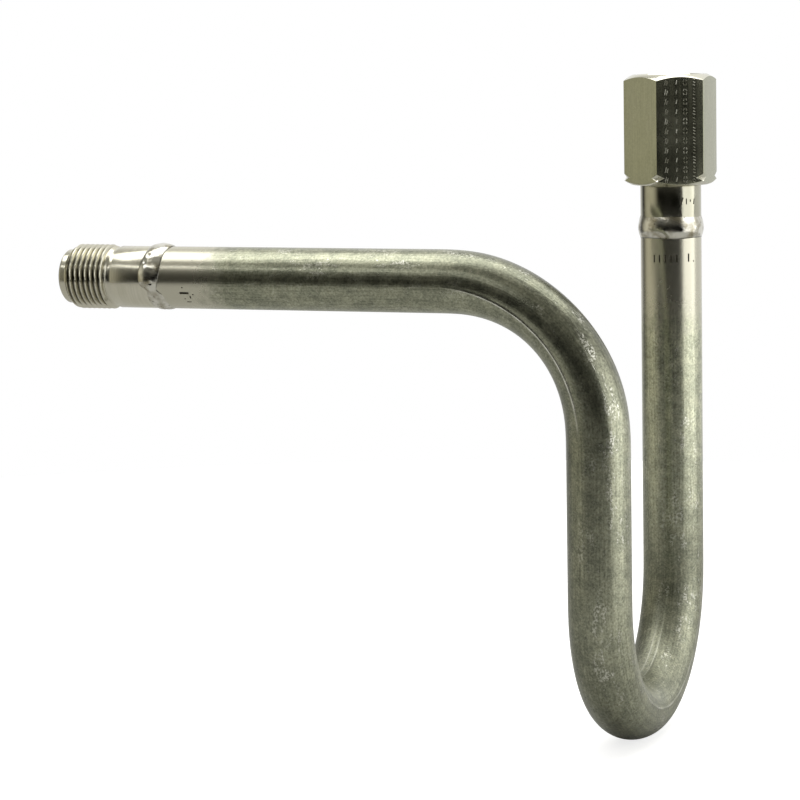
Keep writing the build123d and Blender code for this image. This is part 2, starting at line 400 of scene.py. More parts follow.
# Inspection marks struck before bending: plain strokes and dots that spell nothing. Each is
# (along, angle, length, lengthwise, width, depth), in mm and degrees.
BESIDE_INLET = [(11.6, 115, 3.2, True, 0.8, 0.4), (11.2, 104, 0.5, True, 0.4, 0.2),
                (13.4, 124, 1.1, False, 0.4, 0.25), (11.4, 128, 0.5, True, 0.36, 0.22),
                (12.4, 136, 1.6, True, 0.4, 0.25), (14.6, 118, 0.5, True, 0.4, 0.2)]
BARS = [(PIPE_LENGTH - 10.2, angle, 2.5, True, 0.5, 0.3) for angle in range(253, 298, 11)]
BESIDE_BARS = [(PIPE_LENGTH - 10.0, 321, 2.7, True, 0.6, 0.36),
               (PIPE_LENGTH - 11.2, 333, 0.6, True, 0.4, 0.2)]
struck = []
for along, angle, length, lengthwise, wide, deep in BESIDE_INLET + BARS + BESIDE_BARS:
    middle, way = on_pipe(along, angle)
    run = Vector((1, 0, 0)) if lengthwise else Vector((1, 0, 0)).cross(way)
    struck.append((middle - run * length / 2, middle + run * length / 2, way, wide, deep))
stamp(siphon_tube, struck, dirt)

stock = np.empty(len(siphon_tube.data.vertices) * 3, np.float32)
siphon_tube.data.vertices.foreach_get("co", stock)
stock = stock.reshape(-1, 3).astype(float) / MM
turn = np.degrees(np.arctan2(stock[:, 2], stock[:, 1])) % 360
radius = np.hypot(stock[:, 1], stock[:, 2])
growth, pinch = former_marks(stock[:, 0], turn)
grown = stock.copy()
on_skin = radius > (PIPE_RADIUS + BORE_RADIUS) / 2
grown[:, 1:] *= (1 + growth * on_skin / radius)[:, None]
eased_in = sum(bent(grown + [shift, 0, 0]) for shift in EASING_SHIFTS) / len(EASING_SHIFTS)
siphon_tube.data.vertices.foreach_set("co", (eased_in * MM).ravel())
kept = siphon_tube.data.attributes.new("stock", "FLOAT_VECTOR", "POINT")
kept.data.foreach_set("vector", stock.astype(np.float32).ravel())
kept = siphon_tube.data.attributes.new("pinched", "FLOAT", "POINT")
kept.data.foreach_set("value", pinch.astype(np.float32))
siphon_tube.data.update()
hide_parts("siphon_tube")
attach(siphon_tube, "siphon")

# -----------------------------------------------------------------------------------
# The inlet screwed end: turned from 316 stainless bar, with a 14 threads per inch parallel pipe
# thread of Whitworth form, a plain spigot before it and a relief behind it. It is butt welded on.
PITCH = 25.4 / 14
FLANK_ANGLE = math.radians(27.5)
MAJOR_RADIUS = 10.4775
THREAD_DEPTH = 0.640327 * PITCH
TIP_RADIUS = 0.137329 * PITCH
END_LENGTH = 34.0
SPIGOT_RADIUS = 8.75
SPIGOT_LENGTH = 2.6
SPIGOT_EDGE = 0.8
END_BORE_RADIUS = 4.0
BORE_EDGE = 0.5
WELD_LIP = 0.3
CUP_DEPTH = 8.0
THREAD_LENGTH = 12.3
RELIEF_RADIUS = 9.1
RELIEF_WIDTH = 3.0
EDGE_EASE = 0.18
THREAD_STEP = 0.13
END_AROUND = 120
PITCH_RADIUS = MAJOR_RADIUS - THREAD_DEPTH / 2
END_FOOT = END_LENGTH - SPIGOT_LENGTH - (MAJOR_RADIUS - SPIGOT_RADIUS)


def whitworth(offset):
    """Height of the thread above its pitch line, offset mm along from the middle of a crest."""
    away = np.abs((offset / PITCH + 0.5) % 1 - 0.5) * PITCH
    reach = TIP_RADIUS * math.cos(FLANK_ANGLE)
    top = THREAD_DEPTH / 2 - TIP_RADIUS
    crest = top + np.sqrt(np.maximum(TIP_RADIUS ** 2 - away ** 2, 0))
    root = -top - np.sqrt(np.maximum(TIP_RADIUS ** 2 - (PITCH / 2 - away) ** 2, 0))
    flank = (PITCH / 4 - away) / math.tan(FLANK_ANGLE)
    return np.where(away < reach, crest, np.where(away > PITCH / 2 - reach, root, flank))


def eased(outline, radius):
    """An outline with each corner rounded by three points, and the rest of it as it was. Where a
    side is short, its corners take less than half of it each."""
    most = 0.45
    points = [Vector(p) for p in outline]
    made = []
    for k, corner in enumerate(points):
        before, after = points[k - 1] - corner, points[(k + 1) % len(points)] - corner
        ease = min(radius, before.length * most, after.length * most)
        if ease < 1e-6:
            made += [corner, corner, corner]
            continue
        start, stop = corner + before.normalized() * ease, corner + after.normalized() * ease
        made += [start, (start + stop) / 4 + corner / 2, stop]
    return made


def finely(outline, low, high, step):
    """The outline with points added wherever a long run of it lies between low and high."""
    made = []
    for k, point in enumerate(outline):
        after = outline[(k + 1) % len(outline)]
        made.append(point)
        if min(point.x, after.x) > low - 0.01 and max(point.x, after.x) < high + 0.01:
            count = max(1, round((after - point).length / step))
            made += [point.lerp(after, k / count) for k in range(1, count)]
    return made


def screwed_end(name, place):
    """A screwed end as a closed piece, where place puts (along, radius, angle) where it belongs.
    Along starts where the thread has its full form and runs to the weld. The crest moves along as
    the angle grows, so the thread is right-hand, or left-hand where place turns the other way."""
    face = END_FOOT - END_LENGTH
    relief_end = THREAD_LENGTH + RELIEF_WIDTH
    cone = MAJOR_RADIUS - RELIEF_RADIUS
    outline = [
        (face, END_BORE_RADIUS + BORE_EDGE), (face, SPIGOT_RADIUS - SPIGOT_EDGE),
        (face + SPIGOT_EDGE, SPIGOT_RADIUS), (face + SPIGOT_LENGTH, SPIGOT_RADIUS),
        (0, MAJOR_RADIUS), (THREAD_LENGTH, MAJOR_RADIUS),
        (THREAD_LENGTH + cone, RELIEF_RADIUS), (relief_end, RELIEF_RADIUS),
        (relief_end, PIPE_RADIUS), (END_FOOT - WELD_LIP, PIPE_RADIUS),
        (END_FOOT - WELD_LIP, BORE_RADIUS), (END_FOOT - CUP_DEPTH, BORE_RADIUS),
        (END_FOOT - CUP_DEPTH, END_BORE_RADIUS), (face + BORE_EDGE, END_BORE_RADIUS)]
    outline = finely(eased(outline, EDGE_EASE), face + SPIGOT_LENGTH - 0.3,
                     THREAD_LENGTH + cone, THREAD_STEP)
    turn = np.linspace(0, 2 * math.pi, END_AROUND, endpoint=False)
    along = np.repeat(np.array([p.x for p in outline])[:, None], END_AROUND, 1)
    radius = np.repeat(np.array([p.y for p in outline])[:, None], END_AROUND, 1)
    crest = PITCH * turn / (2 * math.pi)
    cut = PITCH_RADIUS + whitworth(along - crest[None])
    radius = np.where(along < relief_end, np.minimum(radius, cut), radius)
    return shell(name, place(along, radius, turn[None]), sharp=30)


def inlet_place(along, radius, turn):
    """Along the inlet pipe, with the angle from +Y towards +Z."""
    return np.stack([along, radius * np.cos(turn), radius * np.sin(turn)], -1)


inlet_end = screwed_end("turned_inlet_end", inlet_place)

# Turned 316 stainless steel: the tool leaves fine rings round the part, and the end is brushed
# beside the weld, so it looks bright but not mirror clear. Oil and dirt darken the thread's roots,
# and painted shade darkens them further.
turned, tree, steel = metal("fine_turned_stainless")
place = node(tree, "TexCoord", {}).outputs["Object"]
# The tool's rings lie 0.12 mm apart, too fine to show, so they are drawn at 0.4 mm.
rings_at = node(tree, "VectorMath", {0: place, 1: (1.0, 0.02, 0.02)},
                operation="MULTIPLY").outputs[0]
rings = node(tree, "TexNoise", {"Vector": rings_at, "Scale": 1 / (0.4 * MM)}).outputs[0]
# Smears of polish 6 mm wide, and grit lines of 0.1 mm that are drawn at 0.8 mm to show.
smear = node(tree, "TexNoise", {"Vector": place, "Scale": 1 / (6 * MM), "Detail": 4.0}).outputs[0]
grit = node(tree, "TexNoise", {"Vector": place, "Scale": 1 / (0.8 * MM)}).outputs[0]
tone = node(tree, "Mix", {0: smear, 6: linear("bab6a2"), 7: linear("d4d1c2")},
            data_type="RGBA").outputs[2]
level = node(tree, "MapRange", {0: rings, 1: 0.3, 2: 0.7, 3: 0.92, 4: 1.05}).outputs[0]
across_bar = node(tree, "VectorMath", {0: place, 1: (0.0, 1.0, 1.0)},
                  operation="MULTIPLY").outputs[0]
radius = node(tree, "VectorMath", {0: across_bar}, operation="LENGTH").outputs["Value"]
in_roots = node(tree, "MapRange", {0: radius, 1: 9.4 * MM, 2: 10.0 * MM, 3: 1.0, 4: 0.0},
                interpolation_type="SMOOTHSTEP").outputs[0]
from_start = node(tree, "SeparateXYZ", {0: place}).outputs[0]
# The roots' dirt and painted shade stay between the spigot and the relief.
for outside_of, well_inside in ((-1.6, -1.0), (THREAD_LENGTH, THREAD_LENGTH - 0.6)):
    on_thread = node(tree, "MapRange", {0: from_start, 1: outside_of * MM,
                                        2: well_inside * MM}).outputs[0]
    in_roots = node(tree, "Math", {0: in_roots, 1: on_thread}, operation="MULTIPLY").outputs[0]
# Dirt and painted shade: the colour in the thread's roots falls to 0.3.
root_dirt_and_shade = node(tree, "MapRange", {0: in_roots, 3: 1.0, 4: 0.3}).outputs[0]
level = node(tree, "Math", {0: level, 1: root_dirt_and_shade}, operation="MULTIPLY").outputs[0]
tone = node(tree, "VectorMath", {0: tone, "Scale": level}, operation="SCALE").outputs[0]
tree.links.new(tone, steel.inputs["Base Color"])
rough = node(tree, "MapRange", {0: smear, 1: 0.35, 2: 0.65, 3: 0.18, 4: 0.26}).outputs[0]
tree.links.new(rough, steel.inputs["Roughness"])
tool = node(tree, "Math", {0: rings, 1: grit}, operation="ADD").outputs[0]
relief = node(tree, "Bump", {"Height": tool, "Strength": 0.2, "Distance": 0.00002})
tree.links.new(relief.outputs[0], steel.inputs["Normal"])
inlet_end.data.materials.append(turned)
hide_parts("inlet_fitting")
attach(inlet_end, "siphon")

# -----------------------------------------------------------------------------------
# The inlet weld: one pass of 316L filler laid by hand. It ended in a fat puddle over the top and
# front, and ran flatter with scaly ripples underneath. It is left as welded, only brushed.
BEAD_AROUND = 180
BEAD_ACROSS = 27
# How far under the pipe's skin a bead's edges and its root lie.
BEAD_SUNK = 0.12
BEAD_ROOT = 0.9


def lumps(points, size, seed):
    """Smooth bumps of about that size in mm, from -1 to 1, the same on each run."""
    rows = [noise.noise(Vector(p) / size + Vector((seed, 0, 0))) for p in points.reshape(-1, 3)]
    return np.array(rows).reshape(points.shape[:-1])


def under_bead(across, turn, half_width):
    """Points on the pipe's skin under a bead, where its bumps are read, in mm."""
    points = np.broadcast_arrays(across * half_width, np.cos(turn) * PIPE_RADIUS,
                                 np.sin(turn) * PIPE_RADIUS)
    return np.stack(points, -1)


def bead(name, centre, half_width, height, lift, place, toe_shade_share):
    """A weld bead as a closed ring: centre, half_width and height may vary round the joint, and
    lift(across, turn, height) is the surface over the pipe at each place across it. Where the last
    argument is near 1, its material darkens the bead's edge: painted shade in the crease where it
    meets the pipe, with some heat oxide."""
    turn = np.linspace(0, 2 * math.pi, BEAD_AROUND, endpoint=False)
    across = np.sin(np.linspace(-math.pi / 2, math.pi / 2, BEAD_ACROSS))[:, None]
    along = centre + across * half_width
    top = PIPE_RADIUS - BEAD_SUNK + lift(across, turn[None], height)
    under = np.repeat(np.linspace(1, -1, 5)[:, None], BEAD_AROUND, 1)
    rows = np.concatenate([along, centre + under * (half_width - 0.05)])
    reach = np.concatenate([top, np.full_like(under, PIPE_RADIUS - BEAD_ROOT)])
    piece = shell(name, place(rows, reach, turn[None]), sharp=75)
    toe = np.concatenate([np.abs(across) * toe_shade_share + 0 * turn, np.abs(under)])
    kept = piece.data.attributes.new("toe", "FLOAT", "POINT")
    kept.data.foreach_set("value", toe.ravel().astype(np.float32))
    return piece


def degrees_from_top(turn):
    """How far from the top of the arm an angle in degrees is, from -180 to 180."""
    return (turn - 90 + 180) % 360 - 180


round_joint = np.degrees(np.linspace(0, 2 * math.pi, BEAD_AROUND, endpoint=False))
from_top = degrees_from_top(round_joint)
# The puddle rises behind the top and ends in a step low on the front.
PUDDLE_END = 109
puddle = 1 / (1 + np.exp(-(from_top + 38) / 7)) / (1 + np.exp((from_top - PUDDLE_END) / 4))
bead_centre = INLET_JOINT + 1.3 - 1.9 * puddle * (1 - hump(from_top, 0, 38) * 0.5)
bead_centre = bead_centre + 0.25 * np.sin(np.radians(3 * round_joint + 40))
bead_half = 3.0 + 0.6 * puddle - 1.0 * hump(from_top, PUDDLE_END, 8)
bead_half = bead_half + 0.2 * np.sin(np.radians(5 * round_joint))
bead_height = 0.5 + 0.7 * puddle - 0.3 * hump(from_top, PUDDLE_END, 6)


def pits(across, turn):
    """Three small gas pits in the puddle, from 0 to 1."""
    from_top = degrees_from_top(np.degrees(turn))
    deep = 0 * across * from_top
    for side, angle, size in ((-0.35, 44, 0.45), (-0.5, 58, 0.4), (0.35, 96, 0.35)):
        deep = deep + hump(np.hypot((across - side) * 3.6, (from_top - angle) * 0.17), 0, size)
    return deep


def hand_laid(across, turn, height):
    """A rounded puddle where the bead is high, and ripples across the bead where it is low."""
    dome = np.maximum(1 - across ** 2, 0) ** 0.62
    scale = 0.07 * np.sin(turn * 46 + 5 * across ** 2) * (1 - puddle)
    at = under_bead(across, turn, 3.2)
    wave = 0.16 * lumps(at, 2.6, 3) + 0.05 * lumps(at, 0.9, 8)
    return np.minimum(dome * (height + scale + wave - 0.45 * pits(across, turn)), 1.27)


inlet_weld = bead("hand_laid_weld", bead_centre, bead_half, bead_height, hand_laid,
                  inlet_place, 0.86 + 0.14 * puddle)

# 316L filler steel as it froze: liquid-smooth and near mirror bright, with tiny pits and a thin
# film of brown and straw heat colour. Its edges are darkened by painted shade in the crease where
# it meets the pipe, with some heat oxide.
frozen, tree, steel = metal("frozen_weld_steel")
place = node(tree, "TexCoord", {}).outputs["Object"]
# Heat films 3 mm wide, gas pits 2.4 mm apart, and frozen ripples of 1.4 mm.
film = node(tree, "TexNoise", {"Vector": place, "Scale": 1 / (3 * MM), "Detail": 5.0}).outputs[0]
pores = node(tree, "TexVoronoi", {"Vector": place, "Scale": 1 / (2.4 * MM)}).outputs[0]
film_part = node(tree, "MapRange", {0: film, 1: 0.42, 2: 0.66}).outputs[0]
tone = node(tree, "Mix", {0: film_part, 6: linear("cfcdc2"), 7: linear("96907c")},
            data_type="RGBA").outputs[2]
pit = node(tree, "MapRange", {0: pores, 1: 0.03, 2: 0.16, 3: 0.25, 4: 1.0}).outputs[0]
# Painted shade with some heat oxide: the colour at the bead's toe falls to 0.28.
toe = node(tree, "Attribute", {}, attribute_name="toe").outputs["Fac"]
toe = node(tree, "MapRange", {0: toe, 1: 0.86, 2: 0.97, 3: 1.0, 4: 0.28}).outputs[0]
pit = node(tree, "Math", {0: pit, 1: toe}, operation="MULTIPLY").outputs[0]
tone = node(tree, "VectorMath", {0: tone, "Scale": pit}, operation="SCALE").outputs[0]
tree.links.new(tone, steel.inputs["Base Color"])
rough = node(tree, "MapRange", {0: film, 1: 0.35, 2: 0.65, 3: 0.13, 4: 0.28}).outputs[0]
tree.links.new(rough, steel.inputs["Roughness"])
ripple = node(tree, "TexNoise", {"Vector": place, "Scale": 1 / (1.4 * MM),
                                 "Detail": 3.0}).outputs[0]
relief = node(tree, "Bump", {"Height": ripple, "Strength": 0.4, "Distance": 0.0001})
tree.links.new(relief.outputs[0], steel.inputs["Normal"])
inlet_weld.data.materials.append(frozen)
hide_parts("inlet_weld")
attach(inlet_weld, "siphon")

# -----------------------------------------------------------------------------------
# The gauge-side weld: the same filler, laid evenly by turning the joint under the torch. It is a
# smooth low crown that blends upwards and stops at a crisp edge below.
CROWN_HALF_WIDTH = 3.75
CROWN_HEIGHT = 0.86


def upright_place(along, radius, turn):
    """Up the gauge leg, with the angle from +X towards +Y."""
    return np.stack([LEG_X + radius * np.cos(turn), LEG_Y + radius * np.sin(turn),
                     along + 0 * turn], -1)


def evenly_laid(across, turn, height):
    """Highest a little below its middle, with a small step at its lower edge."""
    side = np.where(across < -0.12, (across + 0.12) / 0.88, (across + 0.12) / 1.12)
    dome = np.maximum(1 - side ** 2, 0) ** np.where(across < -0.12, 0.85, 1.1)
    at = under_bead(across, turn, 3.4)
    wave = 0.06 * lumps(at, 3.4, 12) + 0.02 * lumps(at, 1.1, 5)
    return np.maximum(dome * (height + wave) + 0.1 * (across < -0.93), 0)


crown_half = CROWN_HALF_WIDTH + 0.12 * np.sin(np.radians(4 * round_joint))
gauge_weld = bead("even_weld", GAUGE_JOINT, crown_half, CROWN_HEIGHT, evenly_laid,
                  upright_place, 1.0)
gauge_weld.data.materials.append(frozen)
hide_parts("gauge_weld")
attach(gauge_weld, "siphon")

# -----------------------------------------------------------------------------------
# The gauge-side screwed end: turned from the same bar as the inlet end, but with a left-hand
# thread that the nut hides, and a polished neck. It stands on the weld.


def neck_place(along, radius, turn):
    """Head down along the gauge leg: the weld's end is at the joint, and the thread points up."""
    return upright_place(GAUGE_JOINT + END_FOOT - along, radius, turn)


gauge_end = screwed_end("polished_gauge_end", neck_place)

# Polished 316 stainless steel: buffed after turning, so it mirrors the room in sharp upright
# bands, softened only by faint buffing lines and a light haze.
polished, tree, steel = metal("buffed_turned_stainless")
place = node(tree, "TexCoord", {}).outputs["Object"]
# Buffing lines of 0.02 mm are too fine to show, so they are drawn at 0.3 mm. The haze is 4 mm.
buff_at = node(tree, "VectorMath", {0: place, 1: (0.05, 0.05, 1.0)},
               operation="MULTIPLY").outputs[0]
buff = node(tree, "TexNoise", {"Vector": buff_at, "Scale": 1 / (0.3 * MM)}).outputs[0]
haze = node(tree, "TexNoise", {"Vector": place, "Scale": 1 / (4 * MM), "Detail": 4.0}).outputs[0]
tone = node(tree, "Mix", {0: haze, 6: linear("a3a18e"), 7: linear("b8b6a6")},
            data_type="RGBA").outputs[2]
tree.links.new(tone, steel.inputs["Base Color"])
rough = node(tree, "MapRange", {0: haze, 1: 0.35, 2: 0.65, 3: 0.12, 4: 0.2}).outputs[0]
tree.links.new(rough, steel.inputs["Roughness"])
relief = node(tree, "Bump", {"Height": buff, "Strength": 0.15, "Distance": 0.00003})
tree.links.new(relief.outputs[0], steel.inputs["Normal"])
gauge_end.data.materials.append(polished)
# Four plain strokes struck into the neck, each (height, angle, length, lean), in mm and degrees.
STROKE_WIDTH, STROKE_DEPTH = 0.42, 0.24
struck = []
for height, angle, tall, lean in ((20.9, -52, 2.2, 0.35), (20.7, -43, 1.9, 0.0),
                                  (20.9, -34, 0.8, 0.0), (20.6, -25, 1.8, 0.15)):
    turn = math.radians(angle)
    way = Vector((math.cos(turn), math.sin(turn), 0))
    run = (Vector((0, 0, 1)) + Vector((-way.y, way.x, 0)) * lean) * tall / 2
    middle = Vector((LEG_X, LEG_Y, height)) + way * PIPE_RADIUS
    struck.append((middle - run, middle + run, way, STROKE_WIDTH, STROKE_DEPTH))
stamp(gauge_end, struck, dirt, sharp=30)
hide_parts("gauge_fitting")
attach(gauge_end, "siphon")

# -----------------------------------------------------------------------------------
# The adjusting nut: 27 mm hexagon bar in stainless steel, chamfered and tapped right-hand for the
# gauge above. The real nut is tapped left-hand for the tube end below, which the groove round its
# corners tells, but here that lower bore is left plain.
# Turning it draws gauge and siphon together.
NUT_FLAT = 13.5
NUT_BOTTOM, NUT_TOP = nut_low.z / MM, nut_high.z / MM
TOP_LAND_RADIUS, BOTTOM_LAND_RADIUS = 12.2, 12.9
CHAMFER_SLOPE = math.tan(math.radians(30))
CORNER_EASE = 0.22
EDGE_ROUND = 0.13
GROOVE_Z = NUT_BOTTOM + 2.55
GROOVE_HALF_HEIGHT = 1.275
GROOVE_DEPTH = 1.05
GROOVE_FLOOR = NUT_FLAT / math.cos(math.pi / 6) - GROOVE_DEPTH
LOWER_BORE_RADIUS = 10.5275
LOWER_THREAD = 18.0
MIDDLE_RELIEF_RADIUS = 10.8
RELIEF_HEIGHT = 2.8
RELIEF_SLOPE = 0.3
MOUTH_CHAMFER = 1.3
MOUTH_RADIUS = MAJOR_RADIUS - THREAD_DEPTH
LOWER_CHAMFER = 0.7
TAPPED_STEP = 0.16


def hexagon(turn):
    """Distance from the axis to the eased hexagon, where turn is in radians from a flat."""
    from_corner = np.abs(turn) - math.pi / 6
    centre = (NUT_FLAT - CORNER_EASE) / math.cos(math.pi / 6)
    room = CORNER_EASE ** 2 - (centre * math.sin(from_corner)) ** 2
    flat = NUT_FLAT / math.cos(turn)
    if room <= 0:
        return flat
    return min(flat, centre * math.cos(from_corner) + math.sqrt(room))


def nut_outline(reach):
    """The nut's outside and mouths where the hexagon is reach mm from the axis, as (height,
    radius), from the socket's mouth round to the lower bore. The groove shows only at corners."""
    into = max(reach - GROOVE_FLOOR, 0)
    half = into * GROOVE_HALF_HEIGHT / GROOVE_DEPTH
    top = NUT_TOP - max(reach - TOP_LAND_RADIUS, 0) * CHAMFER_SLOPE
    bottom = NUT_BOTTOM + max(reach - BOTTOM_LAND_RADIUS, 0) * CHAMFER_SLOPE
    corners = [(NUT_TOP - MOUTH_CHAMFER, MOUTH_RADIUS), (NUT_TOP, MOUTH_RADIUS + MOUTH_CHAMFER),
               (NUT_TOP, TOP_LAND_RADIUS), (top, reach), (GROOVE_Z + half, reach),
               (GROOVE_Z, reach - into), (GROOVE_Z - half, reach), (bottom, reach),
               (NUT_BOTTOM, BOTTOM_LAND_RADIUS), (NUT_BOTTOM, LOWER_BORE_RADIUS + LOWER_CHAMFER),
               (NUT_BOTTOM + LOWER_CHAMFER, LOWER_BORE_RADIUS)]
    return eased(corners, EDGE_ROUND)[3:-3]


# Degrees from a corner: close together on its easing, then wider over the flat.
from_corner = np.array([0, 0.17, 0.34, 0.5, 1.2, 3, 6, 9.5, 13.5, 17.5, 21.5, 25.5])
sixth = np.concatenate([from_corner - 30, [0], 30 - from_corner[:0:-1]])
nut_turns = np.radians((60 * np.arange(6)[:, None] + sixth[None]).ravel())
outlines = [nut_outline(hexagon(math.radians(a))) for a in sixth] * 6
nut_height = np.array([[p.x for p in line] for line in outlines]).T
nut_radius = np.array([[p.y for p in line] for line in outlines]).T
relief_low = NUT_BOTTOM + LOWER_THREAD
relief_high = relief_low + RELIEF_HEIGHT
bore = [(NUT_BOTTOM + LOWER_CHAMFER, LOWER_BORE_RADIUS), (relief_low, LOWER_BORE_RADIUS),
        (relief_low + RELIEF_SLOPE, MIDDLE_RELIEF_RADIUS),
        (relief_high - RELIEF_SLOPE, MIDDLE_RELIEF_RADIUS)]
threaded = np.arange(relief_high, NUT_TOP - 0.1, TAPPED_STEP)
bore_height = np.concatenate([[h for h, r in bore], threaded])[:, None] + 0 * nut_turns
crest = PITCH * nut_turns / (2 * math.pi)
tapped = PITCH_RADIUS + whitworth(threaded[:, None] - crest[None])
mouth = MOUTH_RADIUS + np.maximum(threaded - NUT_TOP + MOUTH_CHAMFER, 0)
tapped = np.maximum(tapped, mouth[:, None])
bore_radius = np.concatenate([np.array([r for h, r in bore])[:, None] + 0 * nut_turns, tapped])
adjusting_nut = shell("adjusting_nut_hexagon", upright_place(
    np.concatenate([nut_height, bore_height]), np.concatenate([nut_radius, bore_radius]),
    nut_turns[None]), sharp=24)

# Drawn and milled stainless hexagon: satin flats with fine lines along the bar and a soft mottle,
# brighter where the lathe cut the chamfers, and dulled by handling.
satin, tree, steel = metal("drawn_satin_stainless")
place = node(tree, "TexCoord", {}).outputs["Object"]
# Drawing lines up the bar are 0.1 mm wide, too fine to show, so they are drawn at 0.6 mm.
bar_at = node(tree, "VectorMath", {0: place, 1: (1.0, 1.0, 0.06)}, operation="MULTIPLY").outputs[0]
bar = node(tree, "TexNoise", {"Vector": bar_at, "Scale": 1 / (0.6 * MM)}).outputs[0]
# A mottle of 0.8 mm, and finger marks 13 mm wide.
mottle = node(tree, "TexNoise", {"Vector": place, "Scale": 1 / (0.8 * MM)}).outputs[0]
handled = node(tree, "TexNoise", {"Vector": place, "Scale": 1 / (13 * MM),
                                  "Detail": 3.0}).outputs[0]
tone = node(tree, "Mix", {0: handled, 6: linear("97987f"), 7: linear("a6a692")},
            data_type="RGBA").outputs[2]
lines = node(tree, "Math", {0: bar, 1: mottle}, operation="ADD").outputs[0]
level = node(tree, "MapRange", {0: lines, 1: 0.7, 2: 1.3, 3: 0.9, 4: 1.08}).outputs[0]
tone = node(tree, "VectorMath", {0: tone, "Scale": level}, operation="SCALE").outputs[0]
# The lathe's cuts face up or down, unlike the flats. They are bright and nearly clear.
facing = node(tree, "NewGeometry", {}).outputs["True Normal"]
tilt = node(tree, "SeparateXYZ", {0: facing}).outputs[2]
tilt = node(tree, "Math", {0: tilt}, operation="ABSOLUTE").outputs[0]
lathed = node(tree, "MapRange", {0: tilt, 1: 0.25, 2: 0.45}).outputs[0]
tone = node(tree, "Mix", {0: lathed, 6: tone, 7: linear("cfcdbd")}, data_type="RGBA").outputs[2]
tree.links.new(tone, steel.inputs["Base Color"])
rough = node(tree, "MapRange", {0: handled, 1: 0.35, 2: 0.65, 3: 0.22, 4: 0.28}).outputs[0]
rough = node(tree, "Mix", {0: lathed, 2: rough, 3: 0.13}).outputs[0]
tree.links.new(rough, steel.inputs["Roughness"])
relief = node(tree, "Bump", {"Height": bar, "Strength": 0.15, "Distance": 0.00002})
tree.links.new(relief.outputs[0], steel.inputs["Normal"])
adjusting_nut.data.materials.append(satin)

# Fresh steel in the struck marks: brighter and rougher than the satin flat round them.
fresh, tree, steel = metal("fresh_struck_stainless")
# Torn grit of 0.05 mm is too fine to show, so it is drawn at 0.4 mm.
cut_grit = node(tree, "TexNoise", {"Vector": node(tree, "TexCoord", {}).outputs["Object"],
                                   "Scale": 1 / (0.4 * MM)}).outputs[0]
cut_tone = node(tree, "Mix", {0: cut_grit, 6: linear("a4a396"), 7: linear("d2d1c4")},
                data_type="RGBA").outputs[2]
tree.links.new(cut_tone, steel.inputs["Base Color"])
steel.inputs["Roughness"].default_value = 0.5

# Four columns of small tally marks struck into one flat: slants, ticks, lozenges and dashes. A
# column's key is its place across the flat. Then come its strokes, end to end, and their depth.
facing = math.radians(-60)
out = Vector((math.cos(facing), math.sin(facing), 0))
along_flat = Vector((-out.y, out.x, 0))
MARKS = {
    -4.5: (((-0.5, -0.9, -0.05, 0.95), (0.1, -0.9, 0.5, 0.5)), 0.13),
    -1.1: (((-0.1, -0.7, 0.15, 0.7),), 0.09),
    1.75: (((-0.6, 0.3, -0.27, 1.0), (0.27, 1.0, 0.6, 0.3), (0.6, -0.3, 0.27, -1.0),
            (-0.27, -1.0, -0.6, -0.3)), 0.15),
    4.75: (((-0.4, 1.15, 0.35, 0.75), (-0.35, 0.2, 0.4, -0.2), (-0.4, -0.75, 0.35, -1.1)), 0.12)}
MARK_ROWS = 11
MARK_WIDTH = 0.28
FIRST_ROW = NUT_TOP - 2.5
LAST_ROW = NUT_BOTTOM + 2.1
struck = []
for across, (strokes, deep) in MARKS.items():
    for row in range(MARK_ROWS):
        height = FIRST_ROW - (FIRST_ROW - LAST_ROW) * row / (MARK_ROWS - 1)
        worn = 1 + 0.3 * math.sin(row * 2.3 + across)
        centre = Vector((LEG_X, LEG_Y, height)) + out * NUT_FLAT + along_flat * across
        for u0, v0, u1, v1 in strokes:
            ends = [centre + along_flat * u + Vector((0, 0, v)) for u, v in ((u0, v0), (u1, v1))]
            struck.append((*ends, out, MARK_WIDTH, deep * worn))
stamp(adjusting_nut, struck, fresh, sharp=24)
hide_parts("adjusting_nut")
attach(adjusting_nut, "nut")

# -----------------------------------------------------------------------------------
# The studio: a round white table, a white cove behind, a dark room in front of it, a large
# softbox on the right, a bank of light overhead, a narrow strip and a weak panel on the left.
low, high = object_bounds()
middle = (low + high) / 2
TABLE_RADIUS = 0.6
work = bmesh.new()
bmesh.ops.create_circle(work, cap_ends=True, radius=TABLE_RADIUS, segments=96)
table_mesh = bpy.data.meshes.new("white_table")
work.to_mesh(table_mesh)
work.free()
table = placed("white_table", table_mesh)
table.location = (middle.x, middle.y, low.z)

# White laminate: a pale, even, faintly mottled sheet, lifted to paper white for the eye.
laminate = bpy.data.materials.new("white_laminate")
laminate.use_nodes = True
tree = laminate.node_tree
tree.nodes.clear()
# Cloudiness 17 mm across.
mottle = node(tree, "TexNoise", {"Scale": 1 / (17 * MM), "Detail": 3.0}).outputs[0]
white = node(tree, "Mix", {0: mottle, 6: linear("b6b6b3"), 7: linear("bababa")},
             data_type="RGBA").outputs[2]
sheet = node(tree, "BsdfDiffuse", {"Color": white}).outputs[0]
rays = node(tree, "LightPath", {}).outputs
seen = node(tree, "Math", {0: rays["Is Camera Ray"], 1: 0.76}, operation="MULTIPLY").outputs[0]
glow = node(tree, "Emission", {"Strength": seen}).outputs[0]
both = node(tree, "AddShader", {0: sheet, 1: glow}).outputs[0]
node(tree, "OutputMaterial", {0: both})
table_mesh.materials.append(laminate)

CAMERA_SIDE = 21.68
world = bpy.data.worlds.new("studio_room")
bpy.context.scene.world = world
world.use_nodes = True
tree = world.node_tree
tree.nodes.clear()
way = node(tree, "TexCoord", {}).outputs["Generated"]
